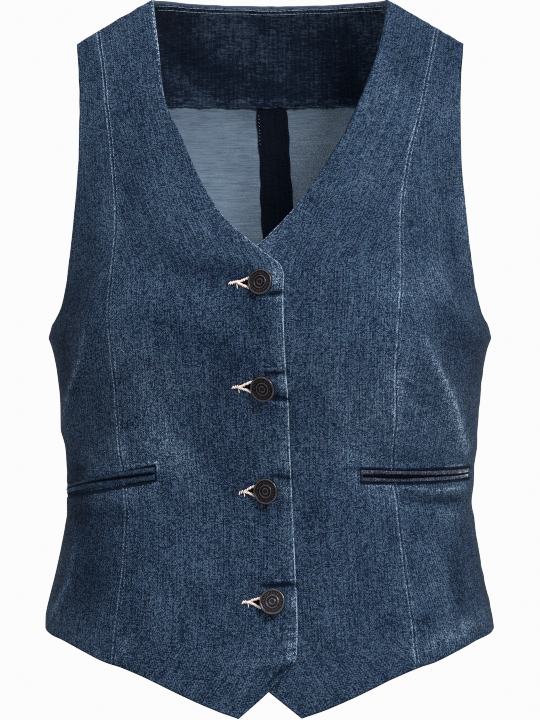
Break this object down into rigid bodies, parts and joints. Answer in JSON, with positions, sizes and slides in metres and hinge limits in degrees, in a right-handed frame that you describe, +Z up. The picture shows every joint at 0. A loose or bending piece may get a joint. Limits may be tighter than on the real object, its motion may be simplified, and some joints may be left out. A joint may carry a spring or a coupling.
{
  "type": "vest",
  "caption": "Fitted denim waistcoat in its worn shape, with a V neck, front buttons, princess seams, welt pockets and a pointed hem.",
  "frame": {"origin": "On the middle plane, at the height of the middle of the two shoulders, where the wearer's shoulders carry the garment, above the line of the two shoulder seams.", "axes": "+X to the wearer's left, -Y out of the front, +Z up; the garment's height lies along Z and its depth, the smallest size, along Y."},
  "size_m": [0.3483, 0.2335, 0.5504],
  "materials": {
    "denim": "mid-indigo cotton twill, washed and rubbed pale at the edges and seams",
    "dark_denim": "unwashed-looking dark indigo twill",
    "button_metal": "dark antiqued metal, rubbed lighter on its raised rings"
  },
  "bodies": {
    "root": {"front_centre_right": "denim", "front_centre_left": "denim", "front_side_right": "denim", "front_side_left": "denim", "back_right": "denim", "back_left": "denim", "welt_upper_right": "denim", "welt_lower_right": "denim", "welt_upper_left": "denim", "welt_lower_left": "denim", "back_neck_facing": "dark_denim", "back_seam_allowance_right": "dark_denim", "back_seam_allowance_left": "dark_denim", "button_1": "button_metal", "button_2": "button_metal", "button_3": "button_metal", "button_4": "button_metal"}
  },
  "joints": []
}
